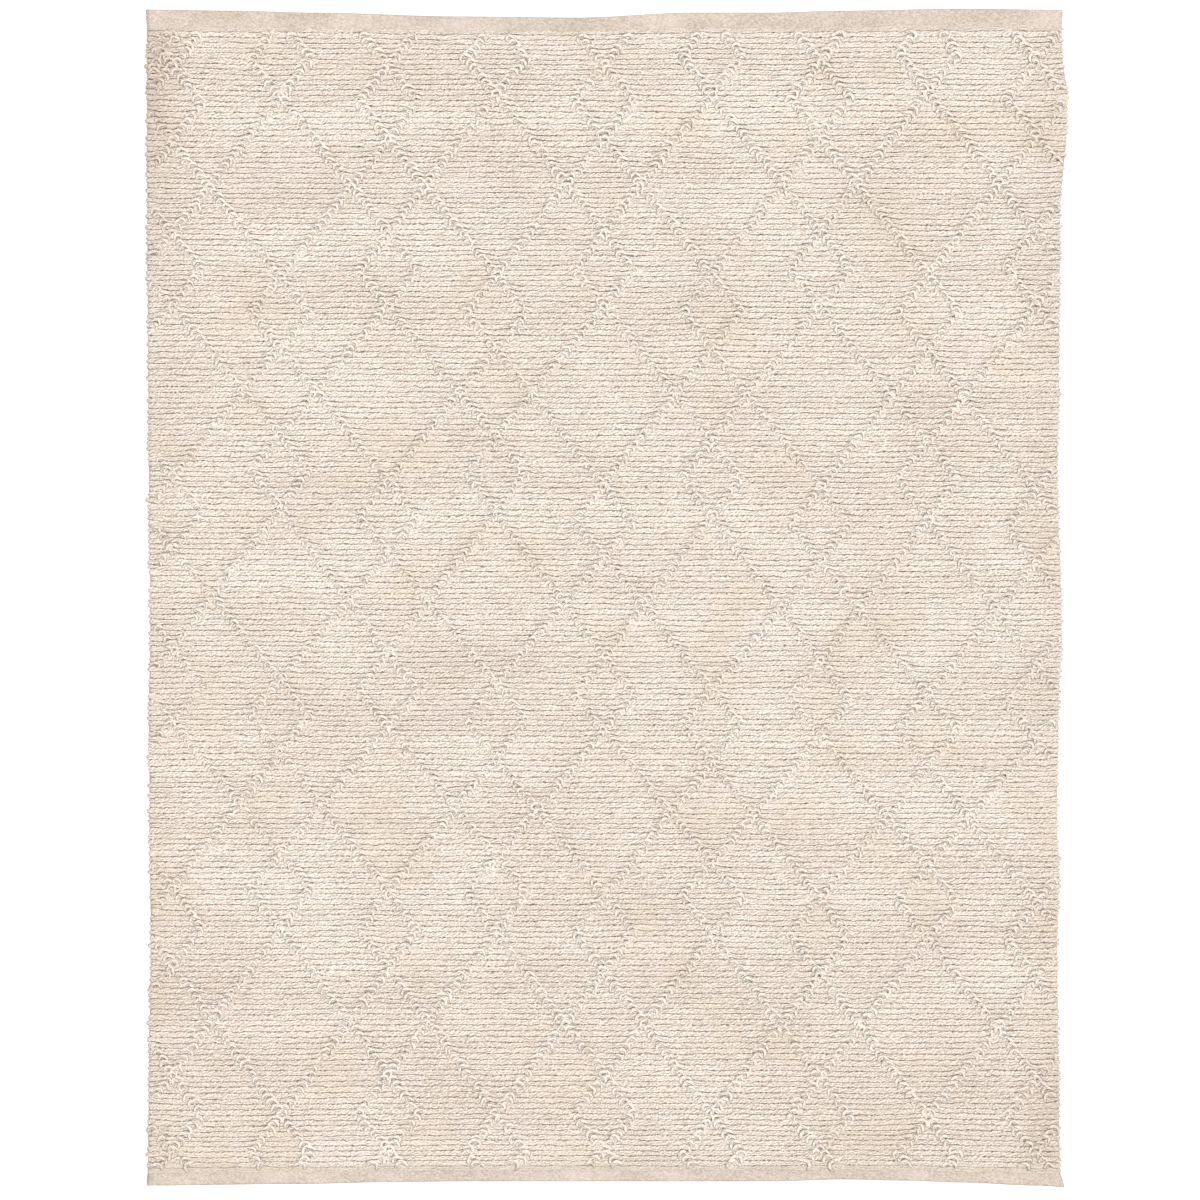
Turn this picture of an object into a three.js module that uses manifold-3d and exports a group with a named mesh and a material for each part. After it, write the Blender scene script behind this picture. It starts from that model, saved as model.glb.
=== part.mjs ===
// A large hand-woven jute rug, lying flat with its looped face up.
// Thick weft rows run across the rug from selvedge to selvedge. A trellis of threads is raised
// over them, where the yarn of row after row is pulled up into loops: it arches over the
// furrows and roots in a row every so often. Both ends of the rug close in a thin hem.
//
// Units are millimetres, +X is across the rug, +Y is along it and +Z is up. The origin is the
// middle of the underside. The rug is one woven cloth, so it is one solid.

import * as THREE from 'three';
import { mergeVertices } from 'three/addons/utils/BufferGeometryUtils.js';
import Module from 'manifold-3d';

// The woven field, measured from the middle of the rug.
const ROWS = 212;
const FIELD_TOP = 1490;
const FIELD_BOTTOM = -1495;
const ROW_PITCH = (FIELD_TOP - FIELD_BOTTOM) / ROWS;

// Heights above the floor.
const HEM_THICKNESS = 3.5;
const FURROW_HEIGHT = 5.5;
const RIB_HEIGHT = 10;
const LOOP_UNDERSIDE = 10.3;
const LOOP_HEIGHT = 17;

// The hem's flat starts this far from the first furrow.
const HEM_STEP_BACK = 3;
const HEM_PIECE = 120;

// A row's end stands proud of the selvedge line and the furrow beside it is drawn in.
const SELVEDGE_SCALLOP = 1.5;

// The underside follows the selvedge with one point for this many lines of the face.
const LINES_PER_UNDERSIDE_POINT = 14;

// A band of loops, measured across the rug: its foot and its narrower top.
const BAND_FOOT = 40;
const BAND_TOP = 22;
const BAND_FREE_EDGE = 6;

// A root ties the band to the crest of a row. It reaches from inside the row into the band.
const ROWS_PER_ROOT = 20;
const FIRST_ROOT_ROW = 5;
const ROOT_LENGTH = 14;
const ROOT_WIDTH = 8;
const ROOT_BOTTOM = 7;
const ROOT_TOP = 13;

// The four edges as they lie: none is quite straight.
const LEFT_EDGE = [
  { y: -1540, x: -1189 },
  { y: -1150, x: -1185 },
  { y: -940, x: -1181 },
  { y: -530, x: -1184 },
  { y: -270, x: -1186 },
  { y: -100, x: -1182 },
  { y: 500, x: -1187 },
  { y: 1040, x: -1190 },
  { y: 1540, x: -1191 },
];
const RIGHT_EDGE = [
  { y: -1540, x: 1199 },
  { y: -1490, x: 1189 },
  { y: -1330, x: 1187 },
  { y: -920, x: 1182 },
  { y: -700, x: 1186 },
  { y: -580, x: 1181 },
  { y: -240, x: 1186 },
  { y: -110, x: 1194 },
  { y: -15, x: 1192 },
  { y: 350, x: 1182 },
  { y: 550, x: 1187 },
  { y: 1020, x: 1189 },
  { y: 1110, x: 1197 },
  { y: 1200, x: 1206 },
  { y: 1310, x: 1208 },
  { y: 1400, x: 1195 },
  { y: 1540, x: 1193 },
];
const TOP_EDGE = [
  { x: -1200, y: 1533 },
  { x: -960, y: 1530 },
  { x: -760, y: 1525 },
  { x: -370, y: 1515 },
  { x: -70, y: 1512 },
  { x: 230, y: 1525 },
  { x: 430, y: 1525 },
  { x: 620, y: 1530 },
  { x: 920, y: 1535 },
  { x: 1210, y: 1532 },
];
const BOTTOM_EDGE = [
  { x: -1200, y: -1527 },
  { x: -800, y: -1523 },
  { x: -560, y: -1518 },
  { x: -370, y: -1516 },
  { x: 430, y: -1516 },
  { x: 620, y: -1511 },
  { x: 780, y: -1514 },
  { x: 920, y: -1519 },
  { x: 1120, y: -1527 },
  { x: 1210, y: -1532 },
];

// The trellis. Its columns of diamonds are evenly spaced, and every thread zigzags between two
// neighbouring columns, running past each by the overshoot before it turns back. The turns sit
// at the side corners of the small diamonds, at one set of heights on the even columns and
// another on the odd ones.
const COLUMN_PITCH = 284;
const OUTERMOST_COLUMN = 5;
const OVERSHOOT = 78;
const TURNS = [
  { evenColumn: 1950, oddColumn: 1840 },
  { evenColumn: 1302, oddColumn: 1418 },
  { evenColumn: 862, oddColumn: 753 },
  { evenColumn: 205, oddColumn: 327 },
  { evenColumn: -246, oddColumn: -314 },
  { evenColumn: -854, oddColumn: -755 },
  { evenColumn: -1334, oddColumn: -1434 },
  { evenColumn: -1942, oddColumn: -1843 },
];

const clamp01 = (value) => Math.min(1, Math.max(0, value));
const ease = (t) => t * t * (3 - 2 * t);
const straight = (t) => t;

// Reads column `wanted` of a table at `value` of column `given`, which rises or falls steadily.
function read(table, given, wanted, value, shape = ease) {
  const rising = table[table.length - 1][given] > table[0][given];
  let k = 0;
  while (k < table.length - 2 && (table[k + 1][given] < value) === rising) {
    k += 1;
  }
  const [from, to] = [table[k], table[k + 1]];
  const t = clamp01((value - from[given]) / (to[given] - from[given]));
  return from[wanted] + (to[wanted] - from[wanted]) * shape(t);
}

const leftEdge = (y) => read(LEFT_EDGE, 'y', 'x', y);
const rightEdge = (y) => read(RIGHT_EDGE, 'y', 'x', y);
const topEdge = (x) => read(TOP_EDGE, 'x', 'y', x);
const bottomEdge = (x) => read(BOTTOM_EDGE, 'x', 'y', x);
const crestAt = (row) => FIELD_BOTTOM + (row + 0.5) * ROW_PITCH;
const furrowAt = (row) => FIELD_BOTTOM + row * ROW_PITCH;

// Collects the points and triangles of a closed shape.
class Skin {
  constructor() {
    this.places = [];
    this.triangles = [];
  }

  add(points) {
    return points.map((point) => this.places.push(point) - 1);
  }

  // Joins two lines of points that run the same way, stepping along whichever lies behind.
  // Seen with the lines running right, the second line is above the first.
  zip(lower, upper, along) {
    let [a, b] = [0, 0];
    while (a < lower.length - 1 || b < upper.length - 1) {
      const nextLower = a < lower.length - 1 ? this.places[lower[a + 1]][along] : Infinity;
      const nextUpper = b < upper.length - 1 ? this.places[upper[b + 1]][along] : Infinity;
      if (nextLower <= nextUpper) {
        this.triangles.push([lower[a], lower[a + 1], upper[b]]);
        a += 1;
      } else {
        this.triangles.push([lower[a], upper[b + 1], upper[b]]);
        b += 1;
      }
    }
  }

  // Joins two rings of four points, and closes a ring with a flat end.
  wrap(ring, next) {
    ring.forEach((corner, k) => {
      const [other, across] = [ring[(k + 1) % 4], next[(k + 1) % 4]];
      this.triangles.push([corner, other, across], [corner, across, next[k]]);
    });
  }

  close([a, b, c, d]) {
    this.triangles.push([a, b, c], [a, c, d]);
  }

  geometry() {
    const geometry = new THREE.BufferGeometry();
    const flat = this.places.flatMap((place) => place.toArray());
    geometry.setAttribute('position', new THREE.Float32BufferAttribute(flat, 3));
    geometry.setIndex(this.triangles.flat());
    return geometry;
  }
}

// A line across the field, from selvedge to selvedge. A crest's ends stand proud.
function fieldLine(y, height, proud) {
  return [
    new THREE.Vector3(leftEdge(y) - proud, y, height),
    new THREE.Vector3(rightEdge(y) + proud, y, height),
  ];
}

// A line across a hem, in short pieces, at the place along the rug that it is given.
function hemLine(placeAt) {
  const left = leftEdge(placeAt(0));
  const right = rightEdge(placeAt(0));
  const pieces = Math.round((right - left) / HEM_PIECE);
  return Array.from({ length: pieces + 1 }, (_, k) => {
    const x = left + ((right - left) * k) / pieces;
    return new THREE.Vector3(x, placeAt(x), HEM_THICKNESS);
  });
}

// The lines of the face, from the bottom hem's edge to the top hem's.
function faceLines() {
  const lines = [hemLine(bottomEdge), hemLine(() => FIELD_BOTTOM - HEM_STEP_BACK)];
  for (let row = 0; row < ROWS; row += 1) {
    lines.push(fieldLine(furrowAt(row), FURROW_HEIGHT, -SELVEDGE_SCALLOP));
    lines.push(fieldLine(crestAt(row), RIB_HEIGHT, SELVEDGE_SCALLOP));
  }
  lines.push(fieldLine(furrowAt(ROWS), FURROW_HEIGHT, -SELVEDGE_SCALLOP));
  lines.push(hemLine(() => FIELD_TOP + HEM_STEP_BACK), hemLine(topEdge));
  return lines;
}

// The woven cloth: a ribbed face between two flat hems, over a flat underside.
function clothGeometry() {
  const skin = new Skin();
  const face = faceLines().map((line) => skin.add(line));
  for (let k = 0; k + 1 < face.length; k += 1) {
    skin.zip(face[k], face[k + 1], 'x');
  }

  const onFloor = (indices) => skin.add(indices.map((index) => skin.places[index].clone().setZ(0)));
  const bottomHem = face[0];
  const topHem = face.at(-1);
  const bottomRim = onFloor(bottomHem);
  const topRim = onFloor(topHem);
  skin.zip(bottomRim, bottomHem, 'x');
  skin.zip(topHem, topRim, 'x');

  const leftSide = face.map((line) => line[0]);
  const rightSide = face.map((line) => line.at(-1));
  const lastPoint = leftSide.length - LINES_PER_UNDERSIDE_POINT / 2;
  const sparse = (side) => side.filter(
    (_, k) => k > 0 && k < lastPoint && k % LINES_PER_UNDERSIDE_POINT === 0,
  );
  const leftRim = [bottomRim[0], ...onFloor(sparse(leftSide)), topRim[0]];
  const rightRim = [bottomRim.at(-1), ...onFloor(sparse(rightSide)), topRim.at(-1)];
  skin.zip(leftSide, leftRim, 'y');
  skin.zip(rightRim, rightSide, 'y');

  const outline = [
    ...bottomRim,
    ...rightRim.slice(1, -1),
    ...[...topRim].reverse(),
    ...leftRim.slice(1, -1).reverse(),
  ];
  const flat = outline.map((index) => new THREE.Vector2(skin.places[index].x, skin.places[index].y));
  for (const [a, b, c] of THREE.ShapeUtils.triangulateShape(flat, [])) {
    skin.triangles.push([outline[a], outline[c], outline[b]]);
  }
  return skin.geometry();
}

// One thread's turning points, between column `gap` and the next. The two threads of a gap
// differ in which kind of column their first turn is on.
function threadTurns(gap, startsOnEven) {
  return TURNS.map((turn, k) => {
    const onEven = (k % 2 === 0) === startsOnEven;
    const onLeft = onEven === (gap % 2 === 0);
    return {
      x: onLeft ? gap * COLUMN_PITCH - OVERSHOOT : (gap + 1) * COLUMN_PITCH + OVERSHOOT,
      y: onEven ? turn.evenColumn : turn.oddColumn,
    };
  });
}

function trellisThreads() {
  const threads = [];
  for (let gap = -OUTERMOST_COLUMN; gap < OUTERMOST_COLUMN; gap += 1) {
    threads.push(threadTurns(gap, true), threadTurns(gap, false));
  }
  return threads;
}

// A thread's band of loops, a zigzag with a broad foot and a narrower top.
function bandGeometry(turns) {
  const skin = new Skin();
  const rings = turns.map(({ x, y }) => skin.add([
    new THREE.Vector3(x - BAND_FOOT / 2, y, LOOP_UNDERSIDE),
    new THREE.Vector3(x + BAND_FOOT / 2, y, LOOP_UNDERSIDE),
    new THREE.Vector3(x + BAND_TOP / 2, y, LOOP_HEIGHT),
    new THREE.Vector3(x - BAND_TOP / 2, y, LOOP_HEIGHT),
  ]));
  for (let k = 0; k + 1 < rings.length; k += 1) {
    skin.wrap(rings[k], rings[k + 1]);
  }
  skin.close(rings.at(-1));
  skin.close([...rings[0]].reverse());
  return skin.geometry();
}

// A block over the woven field, a little inside its selvedges, that trims the bands.
function trimGeometry() {
  const shape = new THREE.Shape();
  for (let row = 0; row <= ROWS; row += LINES_PER_UNDERSIDE_POINT / 2) {
    shape.lineTo(leftEdge(furrowAt(row)) + BAND_FREE_EDGE, furrowAt(row));
  }
  shape.lineTo(leftEdge(FIELD_TOP) + BAND_FREE_EDGE, FIELD_TOP);
  shape.lineTo(rightEdge(FIELD_TOP) - BAND_FREE_EDGE, FIELD_TOP);
  for (let row = ROWS - 2; row >= 0; row -= LINES_PER_UNDERSIDE_POINT / 2) {
    shape.lineTo(rightEdge(furrowAt(row)) - BAND_FREE_EDGE, furrowAt(row));
  }
  shape.closePath();
  return new THREE.ExtrudeGeometry(shape, { depth: 2 * LOOP_HEIGHT, bevelEnabled: false });
}

// Where a thread roots in a row, from one hem to the other.
function rootPlaces(turns) {
  const places = [];
  for (let row = FIRST_ROOT_ROW; row < ROWS; row += ROWS_PER_ROOT) {
    const y = crestAt(row);
    const x = read(turns, 'y', 'x', y, straight);
    if (x - ROOT_LENGTH > leftEdge(y) + BAND_FREE_EDGE && x + ROOT_LENGTH < rightEdge(y) - BAND_FREE_EDGE) {
      places.push({ x, y });
    }
  }
  return places;
}

function rootGeometry({ x, y }) {
  const root = new THREE.BoxGeometry(ROOT_LENGTH, ROOT_WIDTH, ROOT_TOP - ROOT_BOTTOM);
  return root.translate(x, y, (ROOT_TOP + ROOT_BOTTOM) / 2);
}

const wasm = await Module();
wasm.setup();

function solidOf(geometry) {
  geometry.deleteAttribute('normal');
  geometry.deleteAttribute('uv');
  const merged = mergeVertices(geometry);
  return new wasm.Manifold(new wasm.Mesh({
    numProp: 3,
    vertProperties: new Float32Array(merged.attributes.position.array),
    triVerts: new Uint32Array(merged.index.array),
  }));
}

function geometryOf(solid) {
  const { vertProperties, triVerts } = solid.getMesh();
  const geometry = new THREE.BufferGeometry();
  geometry.setAttribute('position', new THREE.Float32BufferAttribute(vertProperties, 3));
  geometry.setIndex(Array.from(triVerts));
  return geometry;
}

function rugGeometry() {
  const threads = trellisThreads();
  let trellis = solidOf(bandGeometry(threads[0]));
  for (const turns of threads.slice(1)) {
    trellis = trellis.add(solidOf(bandGeometry(turns)));
  }
  trellis = trellis.intersect(solidOf(trimGeometry()));
  for (const place of threads.flatMap(rootPlaces)) {
    trellis = trellis.add(solidOf(rootGeometry(place)));
  }
  return geometryOf(solidOf(clothGeometry()).add(trellis));
}

const juteYarn = new THREE.MeshStandardMaterial({ color: 0xe5d9cc, roughness: 0.95, metalness: 0 });

const rug = new THREE.Mesh(rugGeometry(), juteYarn);
rug.name = 'jute_rug';
rug.geometry.computeBoundingBox();
const middle = rug.geometry.boundingBox.getCenter(new THREE.Vector3());
rug.position.set(-middle.x, -middle.y, 0);

const group = new THREE.Group();
group.add(rug);
export default group;
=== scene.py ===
# %% [markdown]
# # A thick jute rug with a looped trellis
# The rug is one woven cloth of cream jute. Thick weft rows run across it from selvedge to
# selvedge, and in row after row the yarn is pulled up into a loop, so that the loops of many
# rows make a trellis of diamonds. Each end closes in a thin, finely woven hem.
# A picture mapped on a flat plane would show all this from one side only. Here every row and
# every loop is a real yarn, so that light falls into the furrows from any direction. Python
# works the yarns out as arrays of rings, which is much quicker than placing objects one by one.

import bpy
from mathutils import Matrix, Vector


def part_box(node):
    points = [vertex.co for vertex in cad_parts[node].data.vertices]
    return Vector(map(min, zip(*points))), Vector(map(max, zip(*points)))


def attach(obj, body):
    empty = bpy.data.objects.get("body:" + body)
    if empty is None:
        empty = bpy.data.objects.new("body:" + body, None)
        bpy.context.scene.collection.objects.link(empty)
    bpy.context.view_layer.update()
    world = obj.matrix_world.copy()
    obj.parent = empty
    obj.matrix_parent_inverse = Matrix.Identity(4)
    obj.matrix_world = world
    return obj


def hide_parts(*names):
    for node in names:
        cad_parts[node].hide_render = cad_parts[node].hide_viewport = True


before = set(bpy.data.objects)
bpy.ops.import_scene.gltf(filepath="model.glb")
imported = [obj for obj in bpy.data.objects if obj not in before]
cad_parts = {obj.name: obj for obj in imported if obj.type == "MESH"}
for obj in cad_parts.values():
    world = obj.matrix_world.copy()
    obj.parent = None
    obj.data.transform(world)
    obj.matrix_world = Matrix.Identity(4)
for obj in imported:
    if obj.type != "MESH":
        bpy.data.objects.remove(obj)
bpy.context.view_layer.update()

# %% The tools of this lesson
import math

import bpy
import numpy as np

# Every random draw comes from this seeded generator, so that each run weaves the same rug.
dice = np.random.default_rng(212)
MM = 0.001

# %% [markdown]
# ## The rug's own sizes
# A hand-woven rug is never quite square: each edge wanders by a centimetre or so. The outline
# could be a long list of points, but a few places along each edge say as much, and a soft
# curve between two of them is how a woven edge really runs. The sizes are in metres, measured
# from the middle of the rug's drawing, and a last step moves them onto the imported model.

# %% Edges and rows
ROWS = 212
FIELD_TOP = 1.4845
FIELD_BOTTOM = -1.4895
FIELD_LENGTH = FIELD_TOP - FIELD_BOTTOM
ROW_PITCH = FIELD_LENGTH / ROWS
RIB_HEIGHT = 10 * MM
print("The rows lie", round(ROW_PITCH / MM, 1), "mm apart")

# Each edge as (place along it, place of the edge).
LEFT_EDGE = [
    (-1.540, -1.189), (-1.150, -1.185), (-0.940, -1.181), (-0.530, -1.184), (-0.270, -1.186),
    (-0.100, -1.182), (0.500, -1.187), (1.040, -1.190), (1.540, -1.191),
]
RIGHT_EDGE = [
    (-1.540, 1.199), (-1.490, 1.189), (-1.330, 1.187), (-0.920, 1.182), (-0.700, 1.186),
    (-0.580, 1.181), (-0.240, 1.186), (-0.110, 1.194), (-0.015, 1.192), (0.350, 1.182),
    (0.550, 1.187), (1.020, 1.189), (1.110, 1.197), (1.200, 1.206), (1.310, 1.208),
    (1.400, 1.195), (1.540, 1.193),
]
TOP_EDGE = [
    (-1.200, 1.533), (-0.960, 1.530), (-0.760, 1.525), (-0.370, 1.515), (-0.070, 1.512),
    (0.230, 1.525), (0.430, 1.525), (0.620, 1.530), (0.920, 1.535), (1.210, 1.532),
]
BOTTOM_EDGE = [
    (-1.200, -1.527), (-0.800, -1.523), (-0.560, -1.518), (-0.370, -1.516), (0.430, -1.516),
    (0.620, -1.511), (0.780, -1.514), (0.920, -1.519), (1.120, -1.527), (1.210, -1.532),
]


def follow(edge, along):
    """Where an edge lies at the places along it, with a soft curve between its points."""
    given, wanted = np.array(edge).T
    step = np.clip(np.searchsorted(given, along) - 1, 0, len(given) - 2)
    part = np.clip((along - given[step]) / (given[step + 1] - given[step]), 0, 1)
    return wanted[step] + (wanted[step + 1] - wanted[step]) * part * part * (3 - 2 * part)


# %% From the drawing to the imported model
DRAWN_FROM, DRAWN_TO = -1.19, 1.20
DRAWN_STEPS = 200

rug_low, rug_high = (np.array(corner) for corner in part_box("jute_rug"))
along_rug = np.linspace(FIELD_BOTTOM, FIELD_TOP, ROWS)
across_rug = np.linspace(DRAWN_FROM, DRAWN_TO, DRAWN_STEPS)
drawn_low = np.array([follow(LEFT_EDGE, along_rug).min(), follow(BOTTOM_EDGE, across_rug).min()])
drawn_high = np.array([follow(RIGHT_EDGE, along_rug).max(), follow(TOP_EDGE, across_rug).max()])
to_frame = np.append((rug_low + rug_high)[:2] / 2 - (drawn_low + drawn_high) / 2, 0)
print("The drawing moves by", np.round(to_frame / MM, 1), "mm onto the packed model")

# %% [markdown]
# ## The camera and the light
# The rug is seen from straight above, as a catalogue shows it, so that its outline is true.
# A long lens far away keeps the selvedges from leaning out. The light could come from a few
# small lamps, but they would draw a hard shadow beside each yarn. A white sky fills every
# furrow softly instead, and one wide, high lamp towards the right selvedge gives each yarn a
# slightly lighter side.

# %% Camera
PICTURE_WIDTH = 3.1195
PICTURE_MIDDLE = np.array([-10.2, -3.4, 0]) * MM + to_frame
LENS = 100
SENSOR = 36

lens = bpy.data.cameras.new("camera")
lens.lens = LENS
lens.sensor_width = SENSOR
camera = bpy.data.objects.new("camera", lens)
distance = PICTURE_WIDTH * LENS / SENSOR
camera.location = (PICTURE_MIDDLE[0], PICTURE_MIDDLE[1], distance + RIB_HEIGHT)
bpy.context.collection.objects.link(camera)
bpy.context.scene.camera = camera
print("The camera hangs", round(distance, 2), "m above the rug")

# %% Sky and lamp
SKY_STRENGTH = 0.75
LAMP_STRENGTH = 1.88
LAMP_WIDTH = math.radians(24)
LAMP_PLACE = (3.2, 1.6, 9.0)

# This view shows colours as they are, where Blender's usual one would pale them.
bpy.context.scene.view_settings.view_transform = "Standard"
sky = bpy.data.worlds.new("soft white sky")
sky.use_nodes = True
sky.node_tree.nodes["Background"].inputs["Color"].default_value = (1, 1, 1, 1)
sky.node_tree.nodes["Background"].inputs["Strength"].default_value = SKY_STRENGTH
bpy.context.scene.world = sky

lamp_light = bpy.data.lights.new("wide lamp", "SUN")
lamp_light.energy = LAMP_STRENGTH
lamp_light.angle = LAMP_WIDTH
lamp = bpy.data.objects.new("wide lamp", lamp_light)
lamp.location = LAMP_PLACE
lamp.rotation_euler = lamp.location.to_track_quat("Z", "Y").to_euler()
bpy.context.collection.objects.link(lamp)
print("The lamp looks", round(math.degrees(LAMP_WIDTH)), "degrees wide from the rug")

# %% [markdown]
# ## Shader arithmetic
# A finish is a small sum: this much tan where the bleach is thin, that much shade in a crease.
# Nodes can be joined by hand, but then the sum can't be read any more. A thin class around a
# socket lets Python's own + - * build the Math nodes, and one method makes all other nodes.


# %% A socket that can be calculated with
class Wire:
    """One socket of a finish. Arithmetic on it adds the Math nodes that work it out."""

    def __init__(self, socket):
        self.socket = socket

    @classmethod
    def node(cls, tree, kind, sockets=(), output=0, **settings):
        """Adds a node. Its settings come first, because they decide which sockets it has."""
        made = tree.nodes.new(kind)
        for name, value in settings.items():
            setattr(made, name, value)
        for name, value in dict(sockets).items():
            if isinstance(value, cls):
                tree.links.new(value.socket, made.inputs[name])
            else:
                made.inputs[name].default_value = value
        return cls(made.outputs[output])

    @property
    def tree(self):
        """The node tree that this socket is in."""
        return self.socket.id_data

    def math(self, operation, first, second=0.0):
        """A Math node, for the operators below and for operations that Python has no sign for."""
        return Wire.node(self.tree, "ShaderNodeMath", {0: first, 1: second}, operation=operation)

    def __add__(self, other):
        return self.math("ADD", self, other)

    def __sub__(self, other):
        return self.math("SUBTRACT", self, other)

    def __rsub__(self, other):
        return self.math("SUBTRACT", other, self)

    def __mul__(self, other):
        return self.math("MULTIPLY", self, other)

    __radd__ = __add__
    __rmul__ = __mul__

    def __abs__(self):
        return self.math("ABSOLUTE", self)

    def wave(self):
        """A sine with one wave for every whole number."""
        return self.math("SINE", self * math.tau)

    def ridges(self):
        """Rounded ridges with a sharp groove between them, at every whole number."""
        return abs(self.math("SINE", self * math.pi))

    def between(self, low, high):
        """0 below low, 1 above high, and a soft step between them."""
        return Wire.node(self.tree, "ShaderNodeMapRange",
                         {"Value": self, "From Min": low, "From Max": high},
                         interpolation_type="SMOOTHSTEP")

    def at_least(self, least):
        """This share from 0 to 1, squeezed so that it never falls below the least one."""
        return self * (1 - least) + least

    def tint(self, colour, share):
        """This colour, mixed with another one by a share from 0 to 1."""
        return Wire.node(self.tree, "ShaderNodeMix", {0: share, 6: self, 7: (*colour, 1)},
                         output=2, data_type="RGBA")

    def axis(self, name):
        """One axis of this place."""
        return Wire.node(self.tree, "ShaderNodeSeparateXYZ", {0: self}, output=name)

    def stretched(self, *factors):
        """This place with its axes multiplied, so that a noise on it looks drawn out."""
        return Wire.node(self.tree, "ShaderNodeVectorMath", {0: self, 1: factors},
                         operation="MULTIPLY")

    def cloud(self, size, detail=1.0):
        """A soft noise at this place, from 0 to 1, with blotches about `size` metres wide."""
        return Wire.node(self.tree, "ShaderNodeTexNoise",
                         {"Vector": self, "Scale": 1 / size, "Detail": detail})

    def patches(self, size, start, full, detail=1.0):
        """Patches of a noise: 0 outside them and 1 inside, with a soft rim."""
        return self.cloud(size, detail).between(start, full)


# %% Small helpers for every finish
def open_finish(name):
    """A new material with its Principled shader, and the tree that they are in."""
    finish = bpy.data.materials.new(name)
    finish.use_nodes = True
    return finish, finish.node_tree, finish.node_tree.nodes["Principled BSDF"]


def from_dark_to_pale(share, dark, pale):
    """A colour that goes from the dark one, at share 0, to the pale one, at share 1."""
    return Wire.node(share.tree, "ShaderNodeMix", {0: share, 6: (*dark, 1), 7: (*pale, 1)},
                     output=2, data_type="RGBA", clamp_factor=True)


def dress(shader, colour, relief, depth, strength, roughness, gloss):
    """Gives a shader its colour, its relief and its dull surface."""
    tree = shader.id_data
    normal = Wire.node(tree, "ShaderNodeBump",
                       {"Strength": strength, "Distance": depth, "Height": relief})
    tree.links.new(colour.socket, shader.inputs["Base Color"])
    tree.links.new(normal.socket, shader.inputs["Normal"])
    shader.inputs["Roughness"].default_value = roughness
    shader.inputs["Specular IOR Level"].default_value = gloss


# %% [markdown]
# ## The finish of jute yarn
# Jute is a bast fibre: bleached to cream, but never evenly, with tan where the bleach didn't
# reach, and spun so coarsely that its twist shows as slanting marks. A colour picture could
# hold the twist, but it would blur when seen from near. The yarns here carry their own
# coordinates instead: how far along the yarn a point lies, in metres, and how far round it.
# A sine of both draws the strands, and a noise drawn out on a slant draws the fibres, so that
# the twist fits any loop or row.

# %% Jute colours
DUSKY = (0.630, 0.520, 0.425)
PALE = (0.990, 0.904, 0.826)
TAN = (0.560, 0.440, 0.310)
# Painted shade for the creases, the yarns' sides and the hem's rim; also the colour of dark
# specks.
SHADE_AND_SPECKS = (0.260, 0.190, 0.130)
HEM_TONE = (0.690, 0.600, 0.500)
YELLOWED = (0.800, 0.680, 0.530)
DARKER_TINT = (0.580, 0.460, 0.350)
PINKISH = (0.870, 0.740, 0.700)
print("Bleached yarn goes from", DUSKY, "to", PALE)

# %% Fibres and strands
# Half of a thick yarn's way round, as it lies in the rug.
HALF_ROUND = 14 * MM
FIBRE_SLANT = math.radians(16)
FIBRE_LENGTH = 7.4 * MM
FIBRE_WIDTH = 4.1 * MM
FIBRE_DETAIL = 3.0
# The fibres lie otherwise in each yarn, by its tone.
FIBRE_CHANGE = 40
# The fibres' painted light and shade, which also varies their tone, is what is left of the fibres
# when the same ones, moved by so much, are taken off.
FIBRE_SHADE_SHIFT = 3.3 * MM
BEND = 8 * MM
BEND_SIZE = 30 * MM
STRANDS = 4
TWIST_LENGTH = 14 * MM
STRAND_WAVER = 2.2
STRAND_WAVER_SIZE = 16 * MM
print("Fibre marks are about", round(FIBRE_LENGTH / MM, 1), "by", round(FIBRE_WIDTH / MM, 1), "mm")


def fibre_marks(spot, along, around, tone):
    """Strokes a few millimetres thick that slant across the yarn, and the painted light and shade
    along their edges.
    """
    across = around * (2 * HALF_ROUND)
    bend = spot.cloud(BEND_SIZE) * BEND
    way = along * math.cos(FIBRE_SLANT) + across * math.sin(FIBRE_SLANT) + bend
    side = across * math.cos(FIBRE_SLANT) - along * math.sin(FIBRE_SLANT) + bend
    fibre, moved_fibre = (
        Wire.node(spot.tree, "ShaderNodeCombineXYZ",
                  {0: way * (1 / FIBRE_LENGTH), 1: (side + shift) * (1 / FIBRE_WIDTH),
                   2: tone * FIBRE_CHANGE}).cloud(1.0, detail=FIBRE_DETAIL)
        for shift in (0, FIBRE_SHADE_SHIFT))
    return fibre, fibre - moved_fibre


def strand_marks(spot, along, around):
    """The strands that are twisted into the yarn, as slanting bands, with painted shade in the
    grooves between them.
    """
    waver = spot.cloud(STRAND_WAVER_SIZE) * STRAND_WAVER
    return (around * STRANDS - along * (1 / TWIST_LENGTH) + waver).wave()


# %% Painted shade in the creases between the yarns
SLACK_SIZE = 13 * MM
# How far slack yarn moves a crease, as a share of a ridge.
CREASE_WANDER = 0.75
SIDE_WANDER = 0.9
# The strands press small scallops into a crease.
SCALLOP = 0.06
SCALLOP_WAVER = 2.0
# The painted shade in the creases is darkest in patches: their size in metres, and where the noise
# starts and is full.
CREASE_SHADE_PATCHES = (0.045, 0.15, 0.60)
# Outside these patches a crease and a side line keep these shares of their painted shade.
LEAST_CREASE_SHADE = 0.55
LEAST_SIDE_SHADE = 0.4
# The hems' inner lines, measured from the rug's middle, and how far slack yarn moves them.
HEM_LINE = (1.466, 1.486)
HEM_LINE_WANDER = 16 * MM
FADE_AT_HEM = 0.8
print("Creases fade from", HEM_LINE[0], "m off the middle, where the hems begin")


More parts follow.
